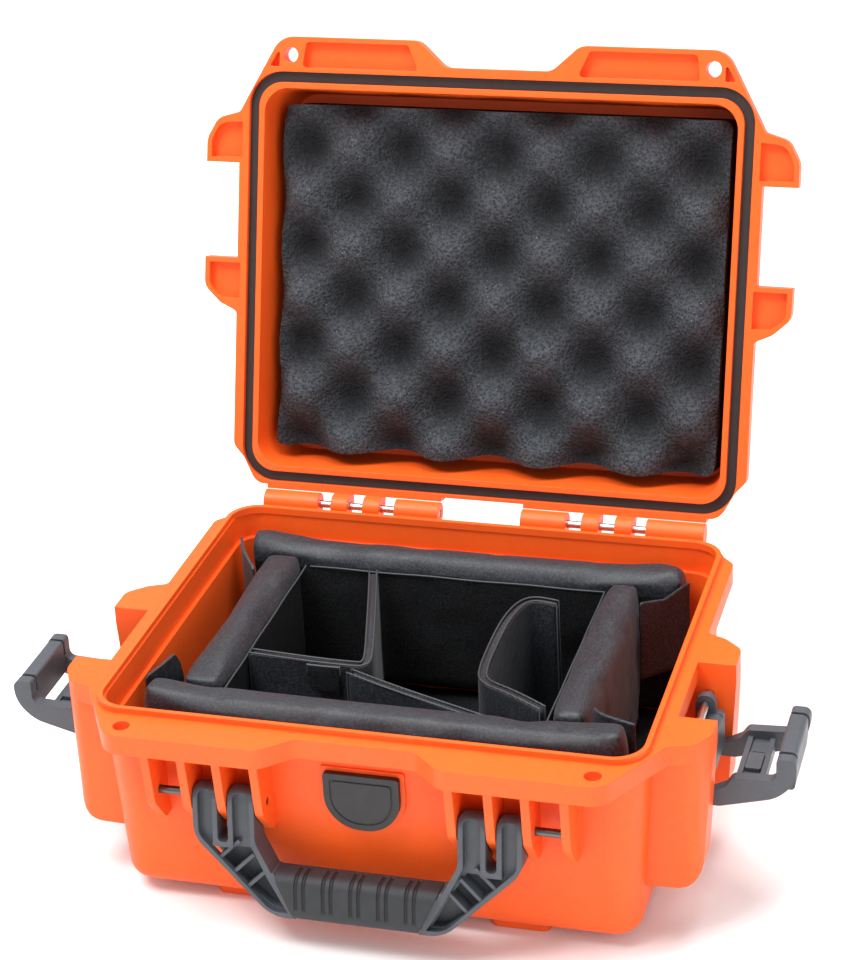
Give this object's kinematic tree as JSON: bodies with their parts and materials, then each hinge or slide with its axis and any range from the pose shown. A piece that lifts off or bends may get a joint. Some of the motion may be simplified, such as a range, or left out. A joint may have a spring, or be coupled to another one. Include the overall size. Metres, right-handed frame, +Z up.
{
  "type": "hard equipment case",
  "caption": "Small moulded waterproof case with hinged lid, claw latches, folding front handle, relief valve, foam lid liner and padded divider insert.",
  "frame": {"origin": "centre of the rest plane of the four feet, under the middle of the base", "axes": "+Z up, +Y from the handle to the hinge, +X to the right seen from the handle"},
  "size_m": [0.3824, 0.3519, 0.3394],
  "materials": {
    "orange_resin": "fine satin texture, moulded",
    "slate_plastic": "satin",
    "steel": "plain",
    "soft_grip": "matt",
    "dark_plastic": "matt",
    "seal_rubber": "smooth",
    "foam": "open-cell foam",
    "membrane": "smooth",
    "fabric": "woven nylon over foam"
  },
  "bodies": {
    "base": {"base_shell": "orange_resin", "hinge_pin_right": "steel", "hinge_pin_left": "steel", "handle_pin_right": "steel", "handle_pin_left": "steel", "vent_cover": "dark_plastic", "valve_body": "dark_plastic", "valve_membrane": "membrane", "valve_seal": "seal_rubber", "valve_nut": "dark_plastic", "latch_link_pin_right": "steel", "latch_link_pin_left": "steel", "insert_floor": "fabric", "insert_back_wall": "fabric", "insert_front_wall": "fabric", "insert_left_wall": "fabric", "insert_right_wall": "fabric", "divider_left_side": "fabric", "divider_left_cross": "fabric", "divider_front": "fabric", "divider_right_middle": "fabric", "divider_right_back": "fabric", "divider_right_front": "fabric", "divider_tab": "fabric"},
    "lid": {"lid_shell": "orange_resin", "lid_gasket": "seal_rubber", "lid_foam": "foam"},
    "handle": {"handle_frame": "slate_plastic", "handle_grip": "soft_grip"},
    "link_right": {"latch_link_right": "slate_plastic", "latch_lever_pin_right": "steel"},
    "lever_right": {"latch_lever_right": "slate_plastic"},
    "lock_right": {"latch_lock_right": "slate_plastic"},
    "link_left": {"latch_link_left": "slate_plastic", "latch_lever_pin_left": "steel"},
    "lever_left": {"latch_lever_left": "slate_plastic"},
    "lock_left": {"latch_lock_left": "slate_plastic"}
  },
  "joints": [
    {"name": "lid_hinge", "type": "hinge", "parent": "base", "child": "lid", "pos_m": [0, 0.12, 0.106], "axis": [1, 0, 0], "range_deg": [0, 106.87]},
    {"name": "handle_swing", "type": "hinge", "parent": "base", "child": "handle", "pos_m": [0, -0.1102, 0.071], "axis": [-1, 0, 0], "range_deg": [-6, 86]},
    {"name": "link_swing_right", "type": "hinge", "parent": "base", "child": "link_right", "pos_m": [0.143, -0.033, 0.09], "axis": [0, 1, 0], "range_deg": [0, 6]},
    {"name": "lever_swing_right", "type": "hinge", "parent": "link_right", "child": "lever_right", "pos_m": [0.142, -0.033, 0.0755], "axis": [0, -1, 0], "range_deg": [0, 96]},
    {"name": "lock_slide_right", "type": "slide", "parent": "lever_right", "child": "lock_right", "axis": [0, 1, 0], "range_m": [0, 0.006]},
    {"name": "link_swing_left", "type": "hinge", "parent": "base", "child": "link_left", "pos_m": [-0.143, -0.033, 0.09], "axis": [0, -1, 0], "range_deg": [0, 6]},
    {"name": "lever_swing_left", "type": "hinge", "parent": "link_left", "child": "lever_left", "pos_m": [-0.142, -0.033, 0.0755], "axis": [0, 1, 0], "range_deg": [0, 96]},
    {"name": "lock_slide_left", "type": "slide", "parent": "lever_left", "child": "lock_left", "axis": [0, 1, 0], "range_m": [0, 0.006]}
  ],
  "couplings": [
    {"joint": "link_swing_right", "follows": "lever_swing_right", "ratio": 0.0625},
    {"joint": "link_swing_left", "follows": "lever_swing_left", "ratio": 0.0625}
  ]
}
